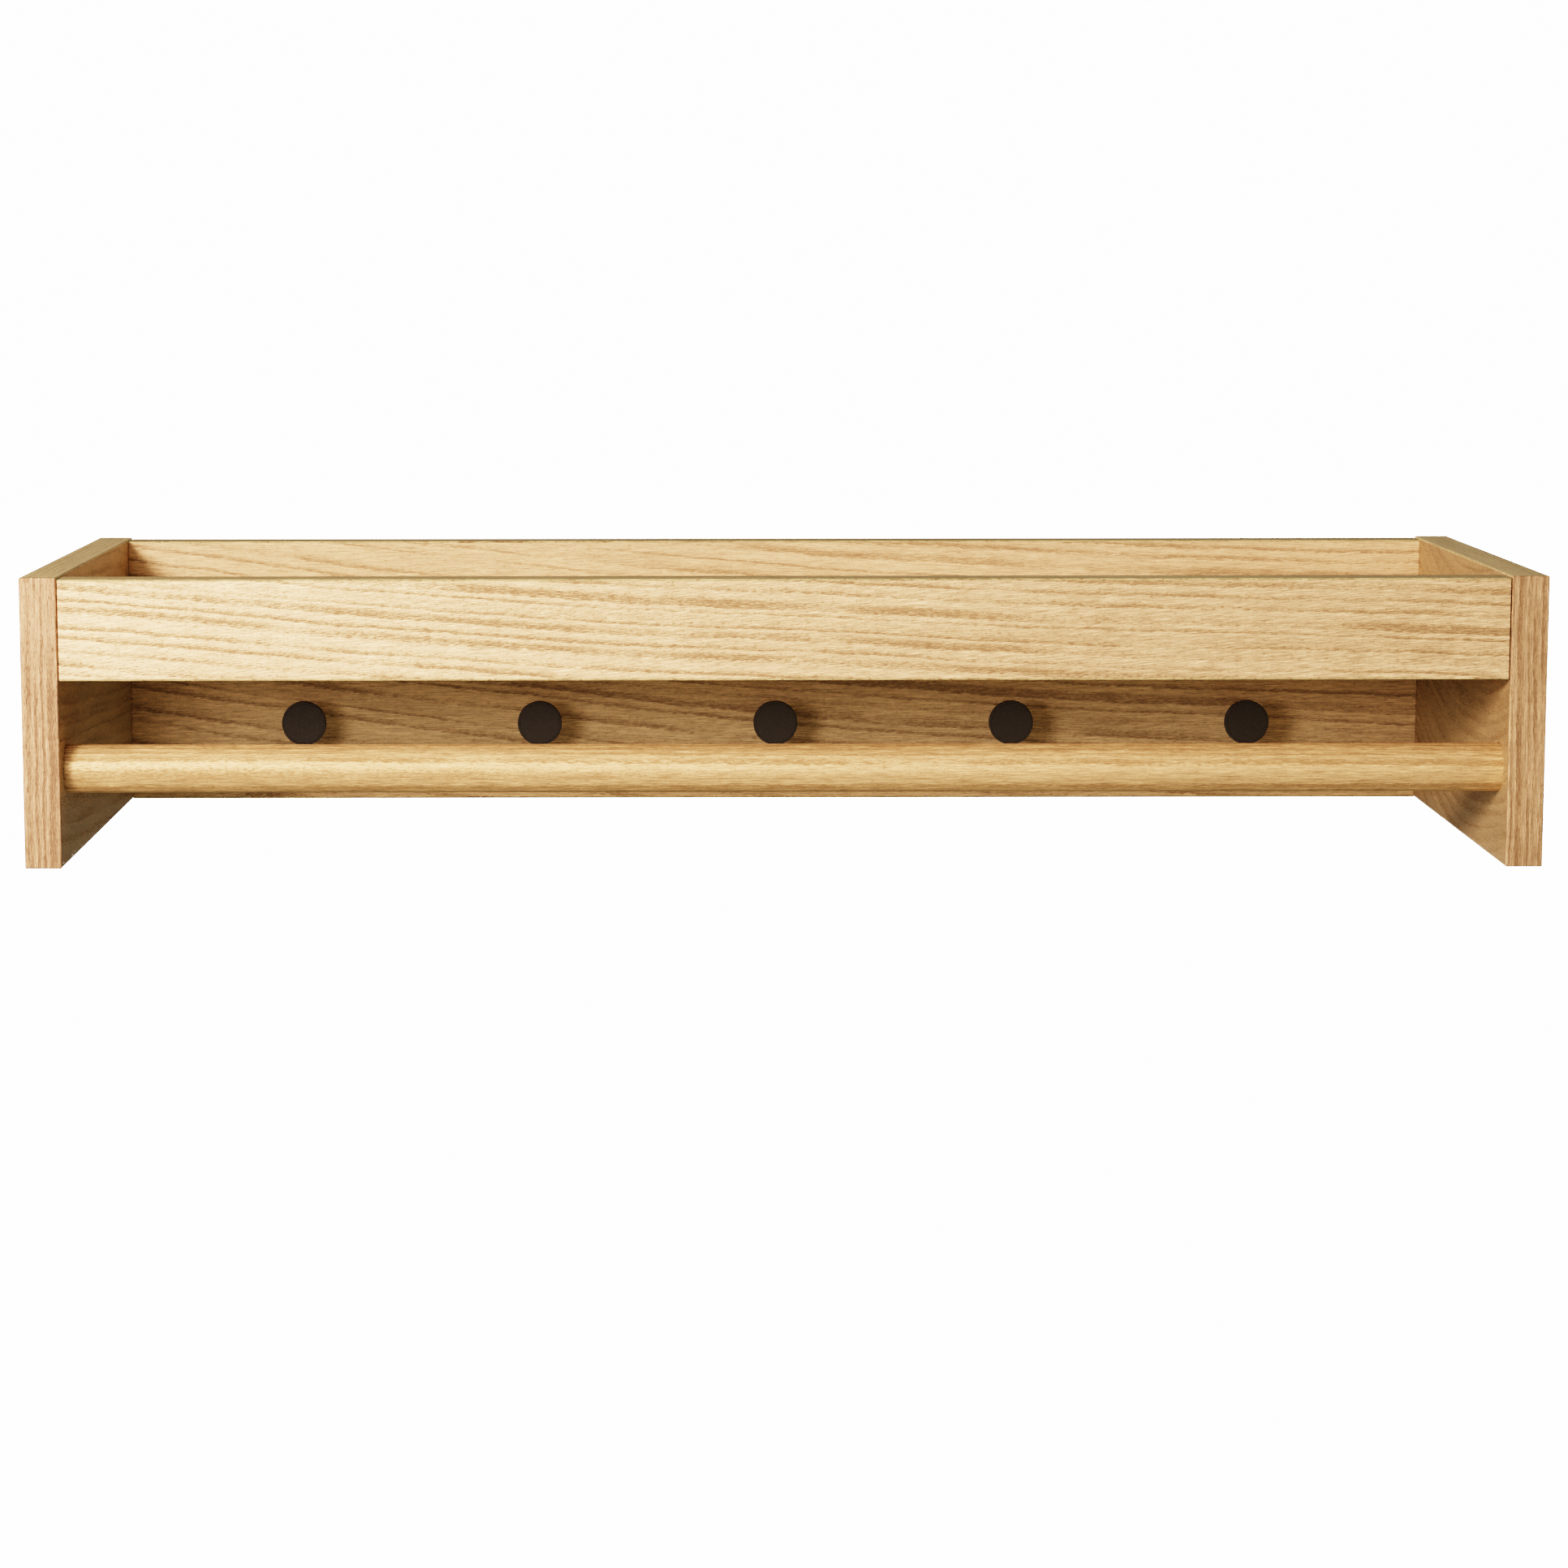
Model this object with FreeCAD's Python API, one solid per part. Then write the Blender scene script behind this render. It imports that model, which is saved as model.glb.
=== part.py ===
"""Wall hook rack: an oak tray shelf with a hanger rail below it and a row of metal knobs behind the rail.

Millimetres. X runs to the right, Y towards the wall and Z up. The origin is in the wall plane, at mid-width
and mid-height, so the rack lies at Y below zero.
"""

import FreeCAD, Part
import os

Vector = FreeCAD.Vector

# Overall size
WIDTH = 780.0
DEPTH = 280.0
HEIGHT = 150.0

# Boards: veneered oak with thin edge bands and lightly rounded arrises
BOARD = 19.0
BAND = 1.0
PANEL_ARRIS = 0.8
CROSS_ARRIS = 0.5
BOARD_DROP = 1.0
FRONT_HEIGHT = 52.0

# Rail, let into blind sockets in the side panels
RAIL_RADIUS = 12.5
RAIL_SETBACK = 24.0
RAIL_HEIGHT = 49.0
SOCKET_DEPTH = 9.5
SOCKET_CLEARANCE = 0.2
RAIL_END_PLAY = 0.5
RAIL_END_ARRIS = 1.0

# Knobs: a thin round head on a slim straight neck
KNOB_COUNT = 5
KNOB_PITCH = 133.5
KNOB_HEIGHT = 49.0
KNOB_REACH = 45.0
KNOB_HEAD_RADIUS = 12.5
KNOB_HEAD_THICKNESS = 4.0
KNOB_RIM = 0.8
KNOB_NECK_RADIUS = 4.0
KNOB_NECK_SWEEP = 5.0
KNOB_TAPPED_DEPTH = 14.0

# Countersunk M4 screws that hold the knobs from behind
KNOB_SCREW_RADIUS = 2.0
KNOB_SCREW_HOLE_RADIUS = 2.25
KNOB_SCREW_HEAD_RADIUS = 4.0
KNOB_SCREW_SINK = 0.5
KNOB_SCREW_LENGTH = 30.0

# Dowels: 8 mm, the same length in every joint
DOWEL_RADIUS = 4.0
DOWEL_IN_FACE = 11.0
DOWEL_IN_EDGE = 19.0
DOWEL_SPARE = 1.0
DOWEL_CHAMFER = 1.0
BACK_DOWEL_HEIGHTS = (-50.0, 0.0, 50.0)
FRONT_DOWEL_INSET = 12.0
SHELF_DOWEL_INSET = 50.0
SHELF_DOWEL_ROW = (-240.0, -80.0, 80.0, 240.0)

# Keyhole hanger plates, let into the rear face of the back board
HANGER_SPACING = 600.0
HANGER_HEIGHT = 44.0
PLATE_WIDTH = 18.0
PLATE_HEIGHT = 46.0
PLATE_THICKNESS = 2.0
PLATE_CLEARANCE = 0.15
KEYHOLE_ENTRY_RADIUS = 4.5
KEYHOLE_SLOT_RADIUS = 2.25
KEYHOLE_TRAVEL = 9.0
KEYHOLE_ENTRY_DROP = 4.0
POCKET_RADIUS = 6.0
POCKET_DEPTH = 10.0
HANGER_SCREW_OFFSET = 17.0
HANGER_SCREW_RADIUS = 1.75
HANGER_SCREW_HEAD_RADIUS = 3.5
HANGER_SCREW_LENGTH = 15.0

# Cross recess of every screw
RECESS_WIDTH = 0.9
RECESS_DEPTH = 1.3

# Places worked out from the sizes above
SIDE_OUT = WIDTH / 2
SIDE_IN = SIDE_OUT - BOARD
TOP = HEIGHT / 2
BOTTOM = -HEIGHT / 2
BOARD_TOP = TOP - BOARD_DROP
FRONT = -DEPTH
BACK_FACE = -BOARD
FRONT_REAR = FRONT + BOARD
FRONT_BOTTOM = BOARD_TOP - FRONT_HEIGHT
SHELF_TOP = FRONT_BOTTOM + BOARD
SHELF_MIDDLE = FRONT_BOTTOM + BOARD / 2
RAIL_Y = FRONT + RAIL_SETBACK
SOCKET_Z = BOTTOM + RAIL_HEIGHT
SOCKET_RADIUS = RAIL_RADIUS + SOCKET_CLEARANCE
RAIL_Z = SOCKET_Z - SOCKET_CLEARANCE
KNOB_Z = BOTTOM + KNOB_HEIGHT
KNOB_XS = [(i - (KNOB_COUNT - 1) / 2) * KNOB_PITCH for i in range(KNOB_COUNT)]
HANGER_XS = (-HANGER_SPACING / 2, HANGER_SPACING / 2)
ENTRY_Z = HANGER_HEIGHT - KEYHOLE_ENTRY_DROP
SEAT_Z = ENTRY_Z + KEYHOLE_TRAVEL


def block(low, high):
    """A box between two corners."""
    size = Vector(*high) - Vector(*low)
    return Part.makeBox(size.x, size.y, size.z, Vector(*low))


def rounded_block(low, high, radius):
    """A box with every arris rounded."""
    solid = block(low, high)
    return solid.makeFillet(radius, solid.Edges)


def rod(radius, start, direction, length, chamfer=0.0):
    """A round bar from a start point along a direction, with both ends chamfered if asked."""
    axis = Vector(*direction)
    origin = Vector(*start)
    if chamfer == 0.0:
        return Part.makeCylinder(radius, length, origin, axis)
    middle = Part.makeCylinder(radius, length - 2 * chamfer, origin + axis * chamfer, axis)
    first = Part.makeCone(radius - chamfer, radius, chamfer, origin, axis)
    last = Part.makeCone(radius, radius - chamfer, chamfer, origin + axis * (length - chamfer), axis)
    return middle.fuse([first, last]).removeSplitter()


def turned(profile, x, z):
    """A solid turned about a Y axis through (x, z) from a closed profile wire in the plane of that axis."""
    face = Part.Face(profile)
    face.translate(Vector(x, 0, z))
    return face.revolve(Vector(x, 0, z), Vector(0, 1, 0), 360)


def stadium(radius, x, low_z, high_z, start_y, length):
    """An upright slot shape, round at both ends, that runs from start_y towards the front."""
    lower = Part.makeCylinder(radius, length, Vector(x, start_y, low_z), Vector(0, -1, 0))
    upper = Part.makeCylinder(radius, length, Vector(x, start_y, high_z), Vector(0, -1, 0))
    between = block((x - radius, start_y - length, low_z), (x + radius, start_y, high_z))
    return between.fuse([lower, upper]).removeSplitter()


def cross_recess(x, head_y, z, reach):
    """The cutter for a screw's cross recess, from the head's surface towards the front."""
    upright = block(
        (x - RECESS_WIDTH / 2, head_y - RECESS_DEPTH, z - reach),
        (x + RECESS_WIDTH / 2, head_y, z + reach),
    )
    level = block(
        (x - reach, head_y - RECESS_DEPTH, z - RECESS_WIDTH / 2),
        (x + reach, head_y, z + RECESS_WIDTH / 2),
    )
    return upright.fuse(level).removeSplitter()


def countersunk_screw(x, head_y, z, head_radius, radius, length, point=0.0):
    """A screw driven from behind: a 90 degree head, a plain shank and a point."""
    head_depth = head_radius - radius
    outline = [
        Vector(0, head_y, 0),
        Vector(head_radius, head_y, 0),
        Vector(radius, head_y - head_depth, 0),
        Vector(radius, head_y - length + point, 0),
        Vector(0, head_y - length, 0),
    ]
    screw = turned(Part.makePolygon(outline + outline[:1]), x, z)
    return screw.cut(cross_recess(x, head_y, z, head_radius * 0.6))


def core_and_bands(low, high, arris, slabs):
    """Round a board, then part its edge bands from its core; slabs are the bands' boxes in order."""
    rest = rounded_block(low, high, arris)
    bands = []
    for slab_low, slab_high in slabs:
        slab = block(slab_low, slab_high)
        bands.append(rest.common(slab).removeSplitter())
        rest = rest.cut(slab)
    return rest, bands


def side_dowel_centres():
    """Where dowels enter the side panels, as (y, z)."""
    back = [(BACK_FACE / 2, z) for z in BACK_DOWEL_HEIGHTS]
    shelf_middle = (BACK_FACE + FRONT_REAR) / 2
    shelf_reach = (BACK_FACE - FRONT_REAR) / 2 - SHELF_DOWEL_INSET
    shelf = [(shelf_middle + step * shelf_reach, SHELF_MIDDLE) for step in (-1, 0, 1)]
    front_y = FRONT + BOARD / 2
    front = [(front_y, z) for z in (FRONT_BOTTOM + FRONT_DOWEL_INSET, BOARD_TOP - FRONT_DOWEL_INSET)]
    return back + shelf + front


def dowel(centre, direction, hole=False):
    """A dowel whose joint face is at centre and that points into the face-grain board; or its hole."""
    spare = DOWEL_SPARE if hole else 0.0
    axis = Vector(*direction)
    start = Vector(*centre) - axis * (DOWEL_IN_EDGE + spare)
    length = DOWEL_IN_EDGE + DOWEL_IN_FACE + 2 * spare
    return rod(DOWEL_RADIUS, start, direction, length, 0.0 if hole else DOWEL_CHAMFER)


def side_dowels(side, hole=False):
    return [dowel((side * SIDE_IN, y, z), (side, 0, 0), hole) for y, z in side_dowel_centres()]


def shelf_dowels(joint_y, direction, hole=False):
    return [dowel((x, joint_y, SHELF_MIDDLE), (0, direction, 0), hole) for x in SHELF_DOWEL_ROW]


def side_panel(side):
    """One side panel with its four edge bands and the blind socket for the rail."""
    xs = sorted((side * SIDE_IN, side * SIDE_OUT))
    low = (xs[0], FRONT, BOTTOM)
    high = (xs[1], 0, TOP)
    slabs = [
        (low, (xs[1], FRONT + BAND, TOP)),
        ((xs[0], -BAND, BOTTOM), high),
        ((xs[0], FRONT, TOP - BAND), high),
        (low, (xs[1], 0, BOTTOM + BAND)),
    ]
    core, bands = core_and_bands(low, high, PANEL_ARRIS, slabs)
    socket = rod(SOCKET_RADIUS, (side * SIDE_IN, RAIL_Y, SOCKET_Z), (side, 0, 0), SOCKET_DEPTH)
    core = core.cut([socket] + side_dowels(side, hole=True))
    return core, dict(zip(("front", "back", "top", "bottom"), bands))


def cross_board(low, high):
    """A board between the side panels with its top and bottom edge bands."""
    slabs = [
        ((low[0], low[1], high[2] - BAND), high),
        (low, (high[0], high[1], low[2] + BAND)),
    ]
    core, bands = core_and_bands(low, high, CROSS_ARRIS, slabs)
    return core, dict(zip(("top", "bottom"), bands))


def hanger_cavity(x):
    """What is cut from the back board for one hanger plate: its recess and the pocket behind the keyhole."""
    half = PLATE_HEIGHT / 2 - PLATE_WIDTH / 2
    recess = stadium(PLATE_WIDTH / 2, x, HANGER_HEIGHT - half, HANGER_HEIGHT + half, 0, PLATE_THICKNESS)
    pocket = stadium(POCKET_RADIUS, x, ENTRY_Z, SEAT_Z, 0, POCKET_DEPTH)
    return [recess, pocket]


def hanger_plate(x):
    """A keyhole plate with round ends and two countersunk screw holes."""
    radius = PLATE_WIDTH / 2 - PLATE_CLEARANCE
    half = PLATE_HEIGHT / 2 - PLATE_WIDTH / 2
    plate = stadium(radius, x, HANGER_HEIGHT - half, HANGER_HEIGHT + half, 0, PLATE_THICKNESS)
    entry = rod(KEYHOLE_ENTRY_RADIUS, (x, 0, ENTRY_Z), (0, -1, 0), PLATE_THICKNESS)
    slot = stadium(KEYHOLE_SLOT_RADIUS, x, ENTRY_Z, SEAT_Z, 0, PLATE_THICKNESS)
    screw_holes = []
    for z in hanger_screw_heights():
        depth = HANGER_SCREW_HEAD_RADIUS - HANGER_SCREW_RADIUS
        cone = Part.makeCone(
            HANGER_SCREW_HEAD_RADIUS, HANGER_SCREW_RADIUS, depth, Vector(x, 0, z), Vector(0, -1, 0)
        )
        screw_holes.append(cone)
        screw_holes.append(rod(HANGER_SCREW_RADIUS, (x, 0, z), (0, -1, 0), PLATE_THICKNESS))
    return plate.cut([entry, slot] + screw_holes)


def hanger_screw_heights():
    return (HANGER_HEIGHT - HANGER_SCREW_OFFSET, HANGER_HEIGHT + HANGER_SCREW_OFFSET)


def hanger_screw(x, z):
    return countersunk_screw(
        x, 0, z, HANGER_SCREW_HEAD_RADIUS, HANGER_SCREW_RADIUS, HANGER_SCREW_LENGTH, HANGER_SCREW_RADIUS * 2
    )


def hanger_screw_pilot(x, z):
    """The hole that a hanger screw has cut for itself: the screw's own outline without its recess."""
    straight = HANGER_SCREW_LENGTH - HANGER_SCREW_RADIUS * 2
    shank = rod(HANGER_SCREW_RADIUS, (x, 0, z), (0, -1, 0), straight)
    point = Part.makeCone(
        HANGER_SCREW_RADIUS, 0, HANGER_SCREW_RADIUS * 2, Vector(x, -straight, z), Vector(0, -1, 0)
    )
    return shank.fuse(point).removeSplitter()


def knob_screw(x):
    return countersunk_screw(
        x, -KNOB_SCREW_SINK, KNOB_Z, KNOB_SCREW_HEAD_RADIUS, KNOB_SCREW_RADIUS, KNOB_SCREW_LENGTH
    )


def knob_screw_cavity(x):
    """The clearance hole for a knob's screw, with its countersink at the rear face."""
    sink_radius = KNOB_SCREW_HEAD_RADIUS + KNOB_SCREW_SINK
    sink_depth = sink_radius - KNOB_SCREW_HOLE_RADIUS
    hole = rod(KNOB_SCREW_HOLE_RADIUS, (x, 0, KNOB_Z), (0, -1, 0), BOARD)
    sink = Part.makeCone(
        sink_radius, KNOB_SCREW_HOLE_RADIUS, sink_depth, Vector(x, 0, KNOB_Z), Vector(0, -1, 0)
    )
    return [hole, sink]


def quarter_arc(start, end, centre):
    """A round corner between two points; centre is the arc's own centre."""
    radius = (start - centre).Length
    towards_middle = (start + end) / 2 - centre
    middle = centre + towards_middle.normalize() * radius
    return Part.Arc(start, middle, end).toShape()


def knob(x):
    """One knob, turned in one piece: neck, concave sweep and thin head with a rounded rim."""
    foot_y = BACK_FACE
    face_y = BACK_FACE - KNOB_REACH
    head_rear = face_y + KNOB_HEAD_THICKNESS
    sweep = KNOB_NECK_SWEEP
    corner = [
        Vector(0, foot_y, 0),
        Vector(KNOB_NECK_RADIUS, foot_y, 0),
        Vector(KNOB_NECK_RADIUS, head_rear + sweep, 0),
        Vector(KNOB_NECK_RADIUS + sweep, head_rear, 0),
        Vector(KNOB_HEAD_RADIUS - KNOB_RIM, head_rear, 0),
        Vector(KNOB_HEAD_RADIUS, head_rear - KNOB_RIM, 0),
        Vector(KNOB_HEAD_RADIUS, face_y + KNOB_RIM, 0),
        Vector(KNOB_HEAD_RADIUS - KNOB_RIM, face_y, 0),
        Vector(0, face_y, 0),
    ]
    edges = [
        Part.makeLine(corner[0], corner[1]),
        Part.makeLine(corner[1], corner[2]),
        quarter_arc(corner[2], corner[3], Vector(KNOB_NECK_RADIUS + sweep, head_rear + sweep, 0)),
        Part.makeLine(corner[3], corner[4]),
        quarter_arc(corner[4], corner[5], Vector(KNOB_HEAD_RADIUS - KNOB_RIM, head_rear - KNOB_RIM, 0)),
        Part.makeLine(corner[5], corner[6]),
        quarter_arc(corner[6], corner[7], Vector(KNOB_HEAD_RADIUS - KNOB_RIM, face_y + KNOB_RIM, 0)),
        Part.makeLine(corner[7], corner[8]),
        Part.makeLine(corner[8], corner[0]),
    ]
    solid = turned(Part.Wire(edges), x, KNOB_Z)
    return solid.cut(rod(KNOB_SCREW_RADIUS, (x, foot_y, KNOB_Z), (0, -1, 0), KNOB_TAPPED_DEPTH))


def rail():
    length = 2 * (SIDE_IN + SOCKET_DEPTH - RAIL_END_PLAY)
    bar = rod(RAIL_RADIUS, (-length / 2, RAIL_Y, RAIL_Z), (1, 0, 0), length)
    return bar.makeFillet(RAIL_END_ARRIS, [edge for edge in bar.Edges if edge.BoundBox.XLength < 0.001])


def build():
    """Every sub-part by its node's name."""
    nodes = {}
    for name, side in (("left", -1), ("right", 1)):
        core, bands = side_panel(side)
        nodes[f"side_panel_{name}"] = core
        for edge, band in bands.items():
            nodes[f"side_{name}_{edge}_band"] = band
        nodes[f"dowels_{name}_panel"] = Part.Compound(side_dowels(side))

    both_sides = side_dowels(-1, hole=True) + side_dowels(1, hole=True)
    back_joint = shelf_dowels(BACK_FACE, 1, hole=True)
    front_joint = shelf_dowels(FRONT_REAR, -1, hole=True)

    back, bands = cross_board((-SIDE_IN, BACK_FACE, BOTTOM), (SIDE_IN, 0, BOARD_TOP))
    cavities = [cavity for x in HANGER_XS for cavity in hanger_cavity(x)]
    cavities += [cavity for x in KNOB_XS for cavity in knob_screw_cavity(x)]
    pilots = [hanger_screw_pilot(x, z) for x in HANGER_XS for z in hanger_screw_heights()]
    nodes["back_board"] = back.cut(both_sides + back_joint + cavities + pilots)
    nodes["back_top_band"] = bands["top"]
    nodes["back_bottom_band"] = bands["bottom"]

    front, bands = cross_board((-SIDE_IN, FRONT, FRONT_BOTTOM), (SIDE_IN, FRONT_REAR, BOARD_TOP))
    nodes["front_board"] = front.cut(both_sides + front_joint)
    nodes["front_top_band"] = bands["top"]
    nodes["front_bottom_band"] = bands["bottom"]

    shelf = block((-SIDE_IN, FRONT_REAR, FRONT_BOTTOM), (SIDE_IN, BACK_FACE, SHELF_TOP))
    nodes["shelf_board"] = shelf.cut(both_sides + back_joint + front_joint)
    nodes["dowels_shelf_back"] = Part.Compound(shelf_dowels(BACK_FACE, 1))
    nodes["dowels_shelf_front"] = Part.Compound(shelf_dowels(FRONT_REAR, -1))

    nodes["rail"] = rail()
    for number, x in enumerate(KNOB_XS, start=1):
        nodes[f"knob_{number}"] = knob(x)
    nodes["knob_screws"] = Part.Compound([knob_screw(x) for x in KNOB_XS])

    for name, x in zip(("left", "right"), HANGER_XS):
        nodes[f"hanger_plate_{name}"] = hanger_plate(x)
    nodes["hanger_screws"] = Part.Compound(
        [hanger_screw(x, z) for x in HANGER_XS for z in hanger_screw_heights()]
    )
    return nodes


def main():
    os.makedirs("parts", exist_ok=True)
    for name, shape in build().items():
        if not shape.isValid():
            raise ValueError(f"{name} is not a valid shape")
        shape.exportStep(os.path.join("parts", f"{name}.step"))
        print(f"{name}: {len(shape.Solids)} solid(s), {shape.Volume / 1000:.2f} cm3")


main()
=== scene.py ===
import math
import bmesh
import bpy
from mathutils import Matrix, Vector

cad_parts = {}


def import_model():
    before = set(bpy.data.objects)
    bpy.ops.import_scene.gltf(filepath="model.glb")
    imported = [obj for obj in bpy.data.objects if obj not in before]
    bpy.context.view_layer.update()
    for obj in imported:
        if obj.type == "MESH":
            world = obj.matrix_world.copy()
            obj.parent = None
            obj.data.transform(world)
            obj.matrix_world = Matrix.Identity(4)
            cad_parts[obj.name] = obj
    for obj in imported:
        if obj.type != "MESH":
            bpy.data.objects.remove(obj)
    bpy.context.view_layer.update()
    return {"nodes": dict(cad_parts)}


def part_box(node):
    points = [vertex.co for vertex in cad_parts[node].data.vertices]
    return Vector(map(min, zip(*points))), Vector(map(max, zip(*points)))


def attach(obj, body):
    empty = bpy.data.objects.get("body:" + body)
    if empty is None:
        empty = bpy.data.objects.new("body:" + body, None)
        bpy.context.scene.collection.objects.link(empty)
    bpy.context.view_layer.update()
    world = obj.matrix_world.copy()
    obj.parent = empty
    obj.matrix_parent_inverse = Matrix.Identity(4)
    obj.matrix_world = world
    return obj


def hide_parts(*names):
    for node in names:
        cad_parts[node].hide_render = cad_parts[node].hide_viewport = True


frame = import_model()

BODY = "root"

# In metres: the arris radii of the panels and of the boards between them, and the open joint
# at the front board's ends
PANEL_ARRIS = 0.0008
CROSS_ARRIS = 0.0005
ARRIS_STEPS = 5
JOINT_GAP = 0.0006
CUT_TOLERANCE = 1e-7
FLAT_SMOOTH_ANGLE = 30.0
ROUND_SMOOTH_ANGLE = 40.0

# Rail and knobs, in metres, and how finely they are turned
RAIL_END_ARRIS = 0.001
RAIL_STEPS = 128
KNOB_COUNT = 5
KNOB_RIM = 0.0008
KNOB_HEAD_THICKNESS = 0.004
KNOB_NECK_RADIUS = 0.004
KNOB_NECK_SWEEP = 0.005
KNOB_GROOVE_INSET = 0.0013
KNOB_GROOVE = 0.00015
KNOB_STEPS = 96
ARRIS_ARC_STEPS = 6
SWEEP_ARC_STEPS = 12

# Grain is described in millimetres along the object's axes
MILLIMETRES = 1000.0
X, Y, Z = 0, 1, 2
BOARD_END = round(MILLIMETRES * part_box("front_board")[1][X], 3)
PANEL_MIDDLE = round(MILLIMETRES * sum(corner[Y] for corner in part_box("side_panel_right")) / 2, 3)
RING_RIPPLE = 2.6


# ---------------------------------------------------------------- meshes

def new_piece(name, bm, material, nodes, smooth_angle=FLAT_SMOOTH_ANGLE):
    """Turn a bmesh into a piece that rides on the rack and stands for its CAD nodes."""
    bmesh.ops.recalc_face_normals(bm, faces=bm.faces[:])
    mesh = bpy.data.meshes.new(name)
    bm.to_mesh(mesh)
    bm.free()
    piece = bpy.data.objects.new(name, mesh)
    bpy.context.scene.collection.objects.link(piece)
    mesh.materials.append(material)
    mesh.shade_smooth()
    mesh.set_sharp_from_angle(angle=math.radians(smooth_angle))
    normals = piece.modifiers.new("flat faces", "WEIGHTED_NORMAL")
    normals.keep_sharp = True
    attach(piece, BODY)
    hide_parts(*nodes)


def rounded_box(low, high, radius):
    """A box with every arris rounded."""
    bm = bmesh.new()
    low, high = Vector(low), Vector(high)
    place = Matrix.Translation((low + high) / 2) @ Matrix.Diagonal((*(high - low), 1.0))
    bmesh.ops.create_cube(bm, size=1.0, matrix=place)
    bmesh.ops.bevel(
        bm, geom=bm.edges[:], offset=radius, offset_type="OFFSET", segments=ARRIS_STEPS,
        profile=0.5, affect="EDGES",
    )
    return bm


def cut_to_box(bm, low, high):
    """Keep what lies inside a box, and close the cuts."""
    for axis in range(3):
        for limit, way in ((low[axis], -1.0), (high[axis], 1.0)):
            normal = Vector((0.0, 0.0, 0.0))
            normal[axis] = way
            point = Vector((0.0, 0.0, 0.0))
            point[axis] = limit
            geometry = bm.verts[:] + bm.edges[:] + bm.faces[:]
            cut = bmesh.ops.bisect_plane(
                bm, geom=geometry, dist=CUT_TOLERANCE, plane_co=point, plane_no=normal,
                clear_outer=True,
            )
            rim = [item for item in cut["geom_cut"] if isinstance(item, bmesh.types.BMEdge)]
            rim = [edge for edge in rim if edge.is_valid and edge.is_boundary]
            if rim:
                bmesh.ops.edgeloop_fill(bm, edges=rim)
    return bm


def joined_box(nodes):
    """The box around several CAD nodes."""
    boxes = [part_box(node) for node in nodes]
    low = [min(box[0][axis] for box in boxes) for axis in range(3)]
    high = [max(box[1][axis] for box in boxes) for axis in range(3)]
    return low, high


def turned(profile, place, steps):
    """A solid of revolution about local Z from (radius, height) points.

    The profile starts and ends on the axis, which closes it.
    """
    bm = bmesh.new()
    rings = []
    for radius, height in profile:
        if radius == 0.0:
            rings.append([bm.verts.new(place @ Vector((0.0, 0.0, height)))])
            continue
        ring = []
        for step in range(steps):
            angle = 2.0 * math.pi * step / steps
            point = Vector((radius * math.cos(angle), radius * math.sin(angle), height))
            ring.append(bm.verts.new(place @ point))
        rings.append(ring)
    for lower, upper in zip(rings, rings[1:]):
        for step in range(steps):
            following = (step + 1) % steps
            corners = [
                lower[step % len(lower)], lower[following % len(lower)],
                upper[following % len(upper)], upper[step % len(upper)],
            ]
            bm.faces.new(list(dict.fromkeys(corners)))
    return bm


def arc(centre, radius, start, end, steps):
    """Points on an arc in a profile plane, angles in degrees."""
    points = []
    for step in range(steps + 1):
        angle = math.radians(start + (end - start) * step / steps)
        across = centre[0] + radius * math.cos(angle)
        points.append((across, centre[1] + radius * math.sin(angle)))
    return points


# ---------------------------------------------------------------- materials

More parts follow.
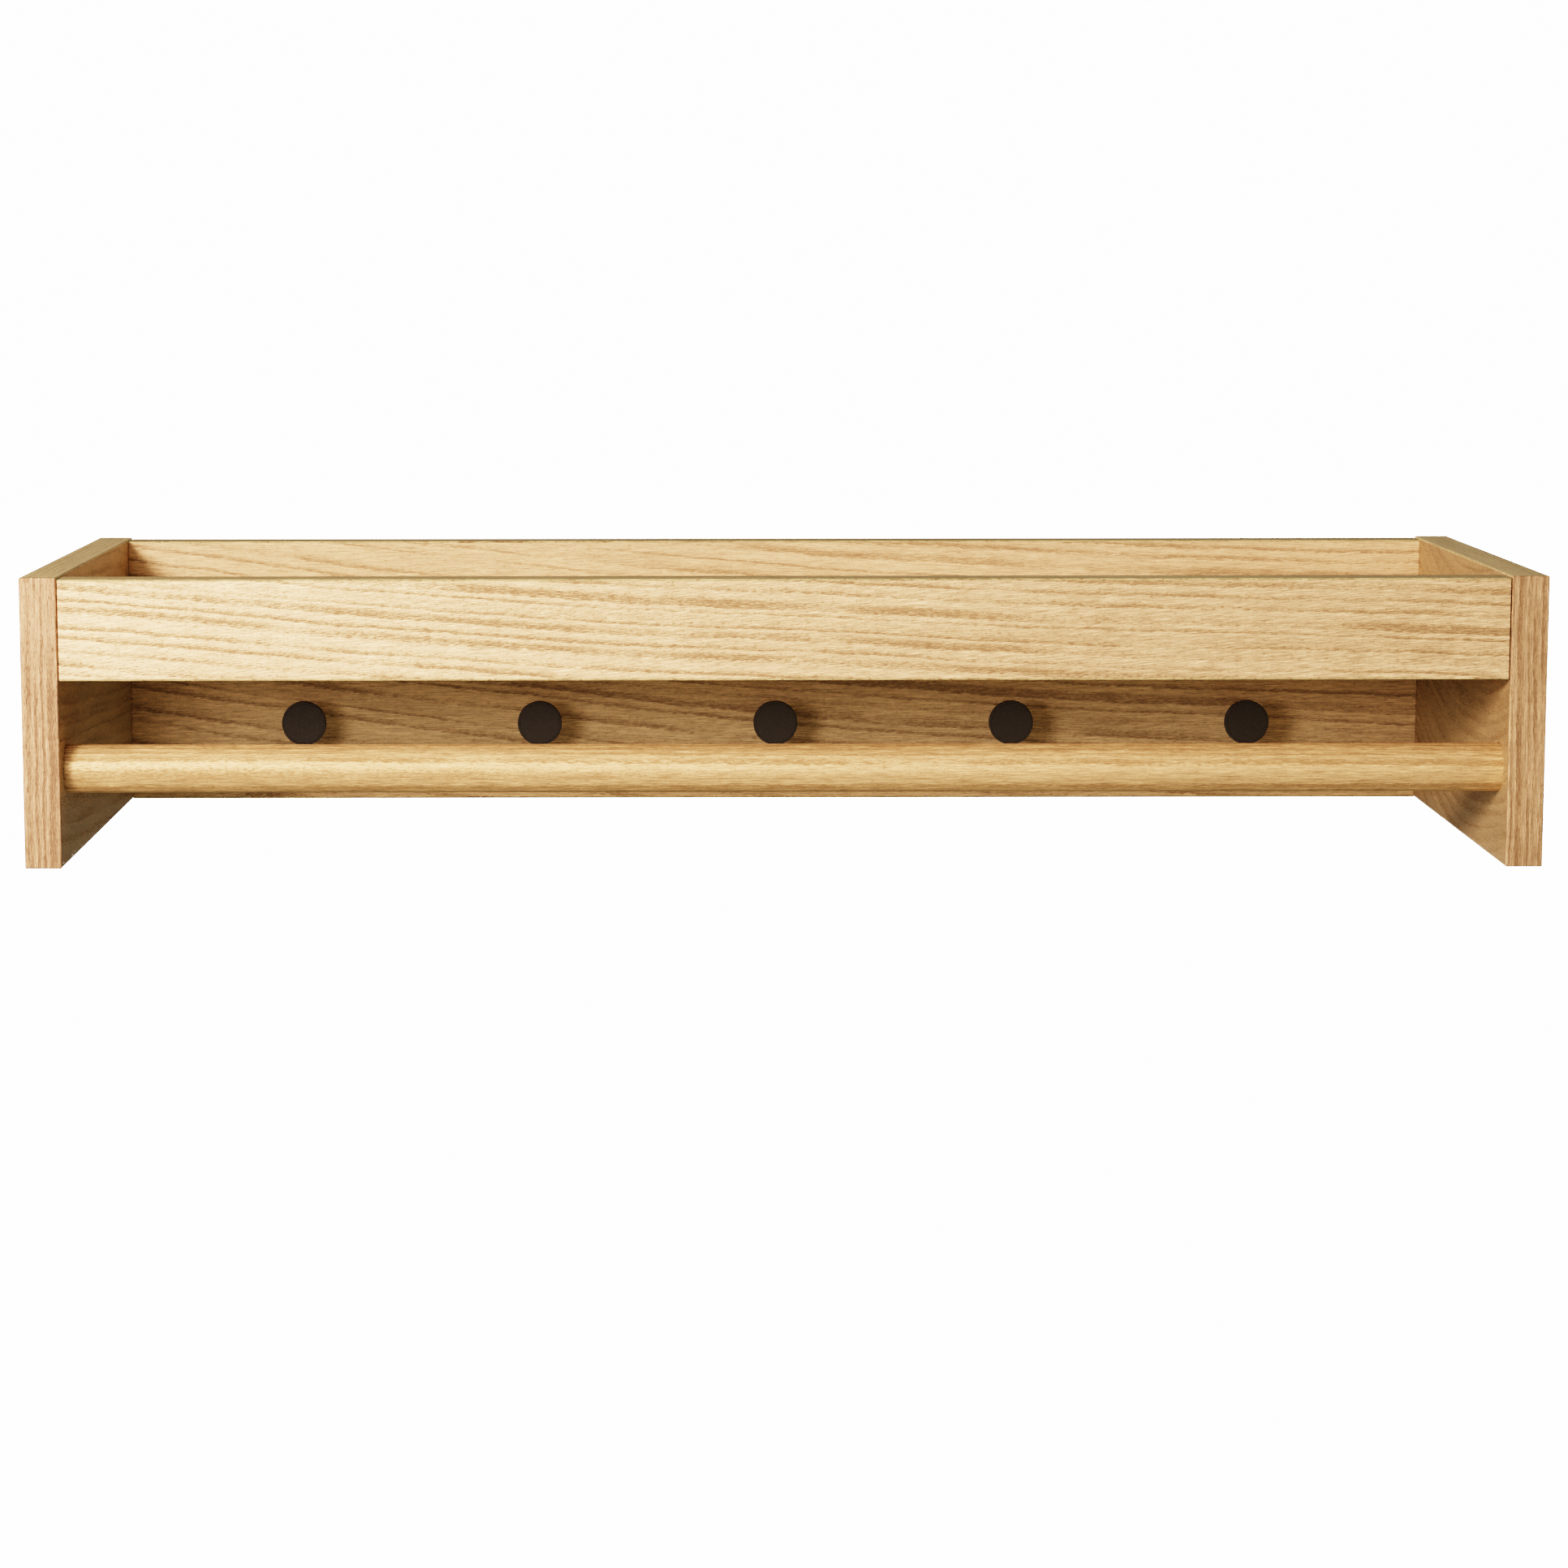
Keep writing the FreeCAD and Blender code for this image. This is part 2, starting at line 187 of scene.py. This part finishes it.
class Graph:
    """Short calls for building a node tree."""

    def __init__(self, material):
        material.use_nodes = True
        self.tree = material.node_tree
        self.tree.nodes.clear()

    def node(self, kind, **settings):
        node = self.tree.nodes.new(kind)
        for name, value in settings.items():
            setattr(node, name, value)
        return node

    def feed(self, socket, value):
        """Link a socket to a socket, or set it to a value."""
        if isinstance(value, bpy.types.NodeSocket):
            self.tree.links.new(value, socket)
        else:
            socket.default_value = value

    def math(self, operation, first, second=0.0, third=0.0):
        node = self.node("ShaderNodeMath", operation=operation)
        for socket, value in zip(node.inputs, (first, second, third)):
            self.feed(socket, value)
        return node.outputs[0]

    def vector(self, x, y, z):
        node = self.node("ShaderNodeCombineXYZ")
        for socket, value in zip(node.inputs, (x, y, z)):
            self.feed(socket, value)
        return node.outputs[0]

    def noise(self, vector, detail=2.0, roughness=0.5, distortion=0.0):
        node = self.node("ShaderNodeTexNoise")
        self.feed(node.inputs["Vector"], vector)
        node.inputs["Scale"].default_value = 1.0
        node.inputs["Detail"].default_value = detail
        node.inputs["Roughness"].default_value = roughness
        node.inputs["Distortion"].default_value = distortion
        return node.outputs[0]

    def ramp(self, value, stops):
        """A smooth colour ramp through (place, colour) stops."""
        node = self.node("ShaderNodeValToRGB")
        node.color_ramp.interpolation = "EASE"
        elements = node.color_ramp.elements
        while len(elements) < len(stops):
            elements.new(0.5)
        for element, (place, colour) in zip(elements, stops):
            element.position = place
            element.color = (*colour, 1.0)
        self.feed(node.inputs[0], value)
        return node.outputs[0]

    def step(self, value, low, high, to_low=0.0, to_high=1.0):
        """A smooth step between low and high, from to_low to to_high."""
        node = self.node("ShaderNodeMapRange", interpolation_type="SMOOTHSTEP", clamp=True)
        for socket, item in zip(node.inputs, (value, low, high, to_low, to_high)):
            self.feed(socket, item)
        return node.outputs[0]

    def mix(self, amount, first, second, blend="MIX"):
        node = self.node("ShaderNodeMix", data_type="RGBA", blend_type=blend)
        self.feed(node.inputs[0], amount)
        for socket, colour in zip(node.inputs[6:8], (first, second)):
            linked = isinstance(colour, bpy.types.NodeSocket)
            self.feed(socket, colour if linked else (*colour, 1.0))
        return node.outputs[2]

    def object_place(self, factor):
        """The place on the object in metres, times a factor."""
        node = self.node("ShaderNodeVectorMath", operation="SCALE")
        self.feed(node.inputs[0], self.node("ShaderNodeTexCoord").outputs["Object"])
        node.inputs["Scale"].default_value = factor
        return node.outputs[0]

    def principled(self, colour, rough, height, strength, distance):
        """The material's shader, with a bump from a height."""
        bump = self.node("ShaderNodeBump")
        bump.inputs["Strength"].default_value = strength
        bump.inputs["Distance"].default_value = distance
        self.feed(bump.inputs["Height"], height)
        shader = self.node("ShaderNodeBsdfPrincipled")
        self.feed(shader.inputs["Base Color"], colour)
        self.feed(shader.inputs["Roughness"], rough)
        self.feed(shader.inputs["Normal"], bump.outputs[0])
        self.output(shader)
        return shader

    def output(self, shader):
        out = self.node("ShaderNodeOutputMaterial")
        self.tree.links.new(shader.outputs[0], out.inputs[0])


def scaled(colour, factor):
    return tuple(channel * factor for channel in colour)


def oak(
    name, axes, slope=0.0, bend=0.0, origin=0.0, sway=6.0, ring=6.0, band=0.5, fibre_slope=0.0,
    heart=None, base=(0.76, 0.51, 0.25), late=(0.50, 0.32, 0.145), pore=(0.17, 0.095, 0.042),
    contrast=1.0, pores=1.0, flecks=0.0, tone_and_light_drift=None, roughness=0.42, gloss=0.35, ior=1.5, seed=0.0,
):
    """Oiled oak. Distances are in millimetres; axes name the grain, the face's width and its depth.

    slope and bend lean and curve the growth rings from origin on, sway is how far they wander, ring
    is their spacing and band the share of a ring that is darkened. heart makes the rings round: the
    pith's place in width and depth, and how fast its depth changes along the grain. base, late and
    pore are the colours of the wood, of the darkened share and of the pores. drift is a list of
    (place along the grain, factor) pairs for a tone along the grain, which on the front board is
    partly the wood's own darker right half and partly painted light, lighter at the left towards
    the key light. gloss and ior set a sheen tinted like base.
    """
    material = bpy.data.materials.new(name)
    g = Graph(material)
    split = g.node("ShaderNodeSeparateXYZ")
    g.feed(split.inputs[0], g.object_place(MILLIMETRES))
    u, v, w = (split.outputs[axis] for axis in axes)

    def streaks(length, across, depth, *settings):
        """Noise drawn out along the grain to about this length."""
        return g.noise(g.vector(g.math("MULTIPLY", u, 1 / length), across, depth), *settings)

    # growth rings
    far = g.math("SUBTRACT", u, origin)
    wide = streaks(210, g.math("MULTIPLY", v, 1 / 70), seed, 1.0)
    fine = streaks(34, g.math("MULTIPLY", v, 1 / 9), seed + 3.1, 2.0)
    wander = g.math("MULTIPLY", g.math("SUBTRACT", wide, 0.5), 2.0 * sway)
    wander = g.math("ADD", wander, g.math("MULTIPLY", g.math("SUBTRACT", fine, 0.5), RING_RIPPLE))
    lean = g.math("MULTIPLY", far, g.math("MULTIPLY_ADD", far, bend, slope))
    level = g.math("ADD", g.math("ADD", v, lean), wander)
    if heart:
        out = g.math("SUBTRACT", level, heart[0])
        deep = g.math("ADD", g.math("SUBTRACT", w, heart[1]), g.math("MULTIPLY", far, heart[2]))
        squares = g.math("ADD", g.math("MULTIPLY", out, out), g.math("MULTIPLY", deep, deep))
        level = g.math("SQRT", squares)

    # fibres, pores and flecks follow the fibre direction
    along_rings = g.math("ADD", v, g.math("MULTIPLY", wander, 0.35))
    thread = g.math("MULTIPLY_ADD", u, fibre_slope, along_rings)
    depth = g.math("MULTIPLY", w, 1.2)
    strand = streaks(20, g.math("MULTIPLY", thread, 1.6), depth, 4.0, 0.75)
    fibre = streaks(9, g.math("MULTIPLY", thread, 4.2), depth, 1.0)
    dash = streaks(4.5, g.math("MULTIPLY", thread, 3.4), depth, 1.0)
    short = streaks(2.0, g.math("MULTIPLY", thread, 4.2), depth, 0.0)

    # the darkened share of each ring, strongest at its sharp edge, and the pores
    jitter = g.noise(g.vector(g.math("MULTIPLY", level, 0.11), seed + 9.0, 0.0), 1.0)
    rings = g.math("ADD", g.math("DIVIDE", level, ring), g.math("MULTIPLY", jitter, 2.2))
    phase = g.math("FRACT", rings)
    ragged = g.math("MULTIPLY_ADD", dash, 0.5, g.math("SUBTRACT", phase, 0.25))
    rise = g.step(ragged, 0.0, 0.10)
    fall = g.step(ragged, band * 0.4, min(band * 1.6, 0.80), 1.0, 0.0)
    early = g.math("MULTIPLY", rise, fall)
    year = g.math("FLOOR", rings)
    patch = streaks(75, g.math("MULTIPLY", year, 3.7), seed + 1.7, 2.0)
    early = g.math("MULTIPLY", early, g.step(patch, 0.28, 0.62, 0.25, 1.0))
    limit = g.math("MULTIPLY_ADD", early, -0.18, 0.68)
    hole = g.step(g.math("SUBTRACT", dash, limit), -0.02, 0.05)
    limit_short = g.math("MULTIPLY_ADD", early, -0.14, 0.70)
    small = g.step(g.math("SUBTRACT", short, limit_short), -0.02, 0.06)
    hole = g.math("MAXIMUM", hole, g.math("MULTIPLY", small, 0.75))
    tone = streaks(120, g.math("MULTIPLY", level, 1 / 14), seed + 6.0, 2.0)

    # colour
    soft = g.math("MULTIPLY", early, min(0.7 * contrast, 1.0))
    colour = g.mix(soft, base, late)
    glow = g.step(tone, 0.3, 0.7, 0.90, 1.08)
    shade = g.math("MULTIPLY_ADD", strand, 2.2 * contrast, 1.0 - 1.1 * contrast)
    fibre_shade = g.math("MULTIPLY_ADD", fibre, 1.8 * contrast, 1.0 - 0.9 * contrast)
    glow = g.math("MULTIPLY", glow, g.math("MULTIPLY", shade, fibre_shade))
    # Tone factor along the grain: partly the wood's own tone and, on the front board, partly
    # painted light, lighter towards the key light at the left
    if tone_and_light_drift:
        start = tone_and_light_drift[0][0]
        span = tone_and_light_drift[-1][0] - start
        along = g.math("DIVIDE", g.math("SUBTRACT", u, start), span)
        peak = max(factor for _, factor in tone_and_light_drift)
        stops = [((place - start) / span, (factor / peak,) * 3) for place, factor in tone_and_light_drift]
        tone_and_light_trend = g.ramp(along, stops)
        glow = g.math("MULTIPLY", g.math("MULTIPLY", glow, peak), tone_and_light_trend)
    grey = g.node("ShaderNodeCombineColor")
    for socket in grey.inputs[:3]:
        g.feed(socket, glow)
    colour = g.mix(1.0, colour, grey.outputs[0], "MULTIPLY")
    if flecks:
        ray = streaks(2.6, g.math("MULTIPLY", thread, 1 / 5.0), depth, 1.0, 0.4, 0.6)
        ray = g.math("MULTIPLY", g.step(ray, 0.60, 0.70), flecks)
        colour = g.mix(ray, colour, scaled(base, 1.25))
    ink = g.math("MULTIPLY", hole, min(0.92 * pores, 1.0))
    colour = g.mix(ink, colour, pore)

    # relief and sheen
    height = g.math("MULTIPLY_ADD", hole, -0.8, g.math("MULTIPLY", strand, 0.5))
    height = g.math("ADD", height, g.math("MULTIPLY", fibre, 0.4))
    rough = g.math("MULTIPLY_ADD", strand, 0.12, roughness - 0.06)
    rough = g.math("MULTIPLY_ADD", hole, 0.22, rough)
    shader = g.principled(colour, rough, height, 0.5, 0.00025)
    shader.inputs["Specular IOR Level"].default_value = gloss
    shader.inputs["IOR"].default_value = ior
    shader.inputs["Specular Tint"].default_value = (*scaled(base, 1.0 / max(base)), 1.0)
    return material


def coated_metal(name, base, speck, roughness, metallic, grain, relief, gloss=0.5):
    """A metal finish with fine specks, a slightly uneven gloss and a fine relief."""
    material = bpy.data.materials.new(name)
    g = Graph(material)
    place = g.object_place(MILLIMETRES / grain)
    fine = g.noise(place, 2.0, 0.6)
    broad_place = g.node("ShaderNodeVectorMath", operation="SCALE")
    g.feed(broad_place.inputs[0], place)
    broad_place.inputs["Scale"].default_value = 0.08
    broad = g.noise(broad_place.outputs[0], 2.0)
    colour = g.mix(g.step(fine, 0.45, 0.75), base, speck)
    rough = g.math("MULTIPLY_ADD", broad, 0.16, roughness - 0.08)
    shader = g.principled(colour, rough, fine, relief, 0.00005)
    shader.inputs["Metallic"].default_value = metallic
    shader.inputs["Specular IOR Level"].default_value = gloss
    return material


front_oak = oak(
    "oak_front_board", (X, Z, Y), slope=0.09, bend=-0.00005, origin=-BOARD_END, sway=3.0, ring=6.2,
    fibre_slope=-0.08, base=(0.82, 0.55, 0.285), late=(0.50, 0.315, 0.15),
    # The front board's pores are far darker than the other boards': partly the pores' own dark
    # colour and partly painted shadow inside them
    pore=(0.055, 0.030, 0.015),
    # Partly the wood's own darker right half, partly painted light: lighter at the left towards the
    # key light
    tone_and_light_drift=[(-BOARD_END, 1.16), (-200, 1.06), (0, 0.92), (150, 0.82), (BOARD_END, 0.93)],
    contrast=1.7, roughness=0.55, gloss=1.0, ior=2.4, seed=2.0,
)
back_oak = oak(
    "oak_back_board", (X, Z, Y), slope=0.14, bend=-0.0001, origin=-BOARD_END, sway=4.0, ring=7.6,
    band=0.38, heart=(-75.0, -60.0, 0.04), base=(0.74, 0.50, 0.26), late=(0.36, 0.235, 0.115),
    pore=(0.19, 0.11, 0.055), contrast=0.75, pores=0.65, seed=7.0,
)
shelf_oak = oak(
    "oak_shelf", (X, Y, Z), slope=0.02, sway=10.0, ring=11.0, base=(0.70, 0.475, 0.24),
    late=(0.52, 0.34, 0.16), pore=(0.30, 0.18, 0.085), contrast=0.6, pores=0.6, seed=11.0,
)
side_oak_left = oak(
    "oak_left_panel", (Y, Z, X), slope=0.06, sway=12.0, ring=9.0, base=(0.52, 0.37, 0.19),
    late=(0.43, 0.295, 0.145), contrast=0.35, pores=0.3, flecks=0.35, seed=14.0,
)
# The right panel's oak is darker than the left's: painted shade, so that its inner face, which the
# key and near-left lights reach, comes out as dark as the shade there; its grain is its own
side_oak_right_painted_shade = oak(
    "oak_right_panel_painted_shade", (Y, Z, X), slope=-0.10, bend=-0.0012, origin=PANEL_MIDDLE, sway=10.0,
    ring=8.0, base=(0.40, 0.275, 0.135), late=(0.30, 0.20, 0.095), contrast=0.5, pores=0.4,
    flecks=0.35, seed=41.0,
)
edge_left = oak(
    "oak_edge_left", (Z, X, Y), sway=3.0, ring=4.4, base=(0.36, 0.225, 0.125),
    late=(0.19, 0.112, 0.06), pore=(0.07, 0.04, 0.022), contrast=1.7, roughness=0.5, gloss=1.0,
    ior=1.9, seed=17.0,
)
edge_right = oak(
    "oak_edge_right", (Z, X, Y), sway=4.0, ring=4.0, base=(0.47, 0.305, 0.165),
    late=(0.25, 0.15, 0.075), pore=(0.10, 0.055, 0.028), contrast=1.5, roughness=0.5, gloss=1.0,
    ior=1.9, seed=53.0,
)
edge_depth = oak(
    "oak_edge_depth", (Y, X, Z), sway=2.0, ring=3.6, base=(0.68, 0.53, 0.265),
    late=(0.52, 0.40, 0.195), contrast=0.4, pores=0.4, seed=19.0,
)
edge_length = oak(
    "oak_edge_length", (X, Y, Z), sway=2.0, ring=3.6, base=(0.48, 0.385, 0.18),
    late=(0.35, 0.27, 0.12), contrast=0.8, seed=23.0,
)
rail_oak = oak(
    "oak_rail", (X, Z, Y), slope=0.01, sway=2.0, ring=3.4, heart=(-40.0, -330.0, 0.0),
    base=(0.64, 0.415, 0.195), late=(0.38, 0.235, 0.106), pore=(0.11, 0.06, 0.027), contrast=1.6,
    flecks=0.25, roughness=0.60, gloss=1.0, ior=2.8, seed=29.0,
)
knob_coat = coated_metal(
    "powder_coat", base=(0.056, 0.048, 0.037), speck=(0.115, 0.100, 0.076), roughness=0.55,
    metallic=0.0, grain=0.35, relief=0.5, gloss=0.2,
)
zinc = coated_metal(
    "zinc_plate", base=(0.55, 0.56, 0.58), speck=(0.66, 0.66, 0.66), roughness=0.34, metallic=1.0,
    grain=0.6, relief=0.2,
)
beech = oak(
    "beech", (X, Z, Y), sway=1.0, ring=2.4, base=(0.66, 0.47, 0.30), late=(0.58, 0.39, 0.23),
    contrast=0.4, pores=0.4, seed=31.0,
)


# ---------------------------------------------------------------- pieces

def finish_cad_node(node, material):
    """Keep a CAD mesh and give it a better material."""
    mesh = frame["nodes"][node].data
    mesh.materials.clear()
    mesh.materials.append(material)


def edge_bands(nodes, low, high, arris, materials):
    """Edge bands cut from one rounded block, so that their arrises meet."""
    for node, material in zip(nodes, materials):
        bm = cut_to_box(rounded_box(low, high, arris), *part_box(node))
        new_piece(f"{node}_fine", bm, material, [node])


def front_board():
    """The front board and its bands, with a thin open joint at each panel."""
    bands = ["front_top_band", "front_bottom_band"]
    low, high = joined_box(["front_board", *bands])
    low[X] += JOINT_GAP
    high[X] -= JOINT_GAP
    edge_bands(bands, low, high, CROSS_ARRIS, [edge_length] * 2)
    bm = cut_to_box(rounded_box(low, high, CROSS_ARRIS), *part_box("front_board"))
    new_piece("front_board_fine", bm, front_oak, ["front_board"])


def back_board():
    """The back board keeps its CAD core, whose holes and recesses show at the rear."""
    bands = ["back_top_band", "back_bottom_band"]
    edge_bands(bands, *joined_box(["back_board", *bands]), CROSS_ARRIS, [edge_length] * 2)
    finish_cad_node("back_board", back_oak)


def side_panels():
    """Both panels keep their CAD cores; the bands around them are cut from rounded blocks."""
    for name in ("left", "right"):
        core = f"side_panel_{name}"
        bands = [f"side_{name}_{edge}_band" for edge in ("front", "back", "top", "bottom")]
        low, high = joined_box([core, *bands])
        upright, face = {
            "left": (edge_left, side_oak_left), "right": (edge_right, side_oak_right_painted_shade),
        }[name]
        edge_bands(bands, low, high, PANEL_ARRIS, (upright, upright, edge_depth, edge_depth))
        finish_cad_node(core, face)


def rail():
    """A round bar with rounded ends, turned along X."""
    low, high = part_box("rail")
    radius = (high[Z] - low[Z]) / 2
    length = high[X] - low[X]
    place = Matrix.Translation((low[X], (low[Y] + high[Y]) / 2, (low[Z] + high[Z]) / 2))
    place = place @ Matrix.Rotation(math.radians(90.0), 4, "Y")
    end = RAIL_END_ARRIS
    profile = [(0.0, 0.0)]
    profile += arc((radius - end, end), end, -90.0, 0.0, ARRIS_ARC_STEPS)
    profile += arc((radius - end, length - end), end, 0.0, 90.0, ARRIS_ARC_STEPS)
    profile += [(0.0, length)]
    bar = turned(profile, place, RAIL_STEPS)
    new_piece("rail_fine", bar, rail_oak, ["rail"], ROUND_SMOOTH_ANGLE)


def knob_profile(reach, head_radius):
    """Neck, concave sweep and thin head, from the board outwards."""
    head_rear = reach - KNOB_HEAD_THICKNESS
    sweep = KNOB_NECK_SWEEP
    rim = KNOB_RIM
    profile = [(0.0, 0.0), (KNOB_NECK_RADIUS, 0.0)]
    neck_end = (KNOB_NECK_RADIUS + sweep, head_rear - sweep)
    profile += arc(neck_end, sweep, 180.0, 90.0, SWEEP_ARC_STEPS)
    profile += arc((head_radius - rim, head_rear + rim), rim, -90.0, 0.0, ARRIS_ARC_STEPS)
    profile += arc((head_radius - rim, reach - rim), rim, 0.0, 90.0, ARRIS_ARC_STEPS)
    groove = head_radius - KNOB_GROOVE_INSET
    profile += [(groove + KNOB_GROOVE, reach), (groove, reach - KNOB_GROOVE)]
    profile += [(groove - KNOB_GROOVE, reach), (0.0, reach)]
    return profile


def knobs():
    """The knobs, turned along Y from the back board outwards."""
    for number in range(1, KNOB_COUNT + 1):
        node = f"knob_{number}"
        low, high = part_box(node)
        place = Matrix.Translation(((low[X] + high[X]) / 2, high[Y], (low[Z] + high[Z]) / 2))
        place = place @ Matrix.Rotation(math.radians(90.0), 4, "X")
        profile = knob_profile(high[Y] - low[Y], (high[X] - low[X]) / 2)
        knob = turned(profile, place, KNOB_STEPS)
        new_piece(f"{node}_fine", knob, knob_coat, [node], ROUND_SMOOTH_ANGLE)


side_panels()
front_board()
back_board()
rail()
knobs()
finish_cad_node("shelf_board", shelf_oak)
for joint in ("left_panel", "right_panel", "shelf_back", "shelf_front"):
    finish_cad_node(f"dowels_{joint}", beech)
for steel in ("knob_screws", "hanger_screws", "hanger_plate_left", "hanger_plate_right"):
    finish_cad_node(steel, zinc)


# ---------------------------------------------------------------- stage, light and camera

# The floor and the background glow by this much where the camera sees them
WHITE = 9.0
FLOOR_HALF_SIZE = 20.0
FLOOR_HEIGHT = -1.2
FLOOR_COLOUR = (0.9, 0.9, 0.9, 1.0)

AMBIENT_COLOUR = (1.0, 0.935, 0.78, 1.0)
AMBIENT_STRENGTH = 0.236

CAMERA_PLACE = (-0.0453, -2.2911, 0.2426)
CAMERA_TILT = (82.315, 0.068, -0.067)
CAMERA_LENS = 90.92
CAMERA_SHIFT = (0.0539, -0.0032)

# Name, place, target, size, watts and colour
RACK = (-0.05, -0.2, 0.0)
BACK_LIGHT = (1.0, 0.82, 0.78)
LIGHTS = [
    ("key", (-0.93, -1.75, 0.60), RACK, (0.42, 0.42), 53.0, (1.0, 0.725, 0.653)),
    ("low_key", (-0.54, -1.756, 0.26), RACK, (0.40, 0.27), 10.5, (1.0, 0.822, 0.797)),
    ("near_left", (-0.78, -0.80, 0.22), (-0.35, -0.28, 0.0), (0.3, 0.3), 1.6, (1.0, 0.75, 0.71)),
    ("behind_left", (-1.7, 0.9, -0.04), (-0.4, -0.1, 0.0), (0.8, 0.08), 22.0, BACK_LIGHT),
    ("behind_right", (1.7, 0.9, -0.04), (0.4, -0.1, 0.0), (0.8, 0.08), 22.0, BACK_LIGHT),
    ("behind", (0.0, 2.0, -0.06), (0.0, 0.0, 0.0), (1.2, 0.1), 24.0, BACK_LIGHT),
]


def area_light(name, place, target, size, power, colour):
    light = bpy.data.lights.new(name, "AREA")
    light.shape = "ELLIPSE"
    light.size, light.size_y = size
    light.energy = power
    light.color = colour
    lamp = bpy.data.objects.new(name, light)
    lamp.location = place
    lamp.rotation_euler = (Vector(target) - Vector(place)).to_track_quat("-Z", "Y").to_euler()
    bpy.context.scene.collection.objects.link(lamp)


def stage():
    """A pale floor well below the rack, which hangs as on a wall."""
    bm = bmesh.new()
    bmesh.ops.create_grid(bm, x_segments=2, y_segments=2, size=FLOOR_HALF_SIZE)
    mesh = bpy.data.meshes.new("floor")
    bm.to_mesh(mesh)
    bm.free()
    floor = bpy.data.objects.new("floor", mesh)
    floor.location = (0.0, 0.0, FLOOR_HEIGHT)
    bpy.context.scene.collection.objects.link(floor)
    material = bpy.data.materials.new("pale_floor")
    g = Graph(material)
    diffuse = g.node("ShaderNodeBsdfDiffuse")
    diffuse.inputs["Color"].default_value = FLOOR_COLOUR
    glow = g.node("ShaderNodeEmission")
    glow.inputs["Strength"].default_value = WHITE
    add = g.node("ShaderNodeAddShader")
    g.feed(add.inputs[0], diffuse.outputs[0])
    g.feed(add.inputs[1], glow.outputs[0])
    g.output(add)
    mesh.materials.append(material)
    floor.visible_diffuse = False
    floor.visible_glossy = False


def world():
    """Even warm light on the rack, and plain white behind it."""
    studio = bpy.data.worlds.new("studio")
    bpy.context.scene.world = studio
    studio.use_nodes = True
    tree = studio.node_tree
    ambient = tree.nodes["Background"]
    ambient.inputs["Color"].default_value = AMBIENT_COLOUR
    ambient.inputs["Strength"].default_value = AMBIENT_STRENGTH
    white = tree.nodes.new("ShaderNodeBackground")
    white.inputs["Color"].default_value = (1.0, 1.0, 1.0, 1.0)
    white.inputs["Strength"].default_value = WHITE
    path = tree.nodes.new("ShaderNodeLightPath")
    mix = tree.nodes.new("ShaderNodeMixShader")
    tree.links.new(path.outputs["Is Camera Ray"], mix.inputs[0])
    tree.links.new(ambient.outputs[0], mix.inputs[1])
    tree.links.new(white.outputs[0], mix.inputs[2])
    tree.links.new(mix.outputs[0], tree.nodes["World Output"].inputs[0])


def camera():
    data = bpy.data.cameras.new("camera")
    data.sensor_width = 36.0
    data.lens = CAMERA_LENS
    data.shift_x, data.shift_y = CAMERA_SHIFT
    data.clip_start = 0.05
    data.clip_end = 100.0
    item = bpy.data.objects.new("camera", data)
    item.location = CAMERA_PLACE
    item.rotation_euler = [math.radians(angle) for angle in CAMERA_TILT]
    bpy.context.scene.collection.objects.link(item)
    bpy.context.scene.camera = item


stage()
world()
for settings in LIGHTS:
    area_light(*settings)
camera()
bpy.context.scene.view_settings.view_transform = "Filmic"
bpy.context.scene.view_settings.look = "High Contrast"
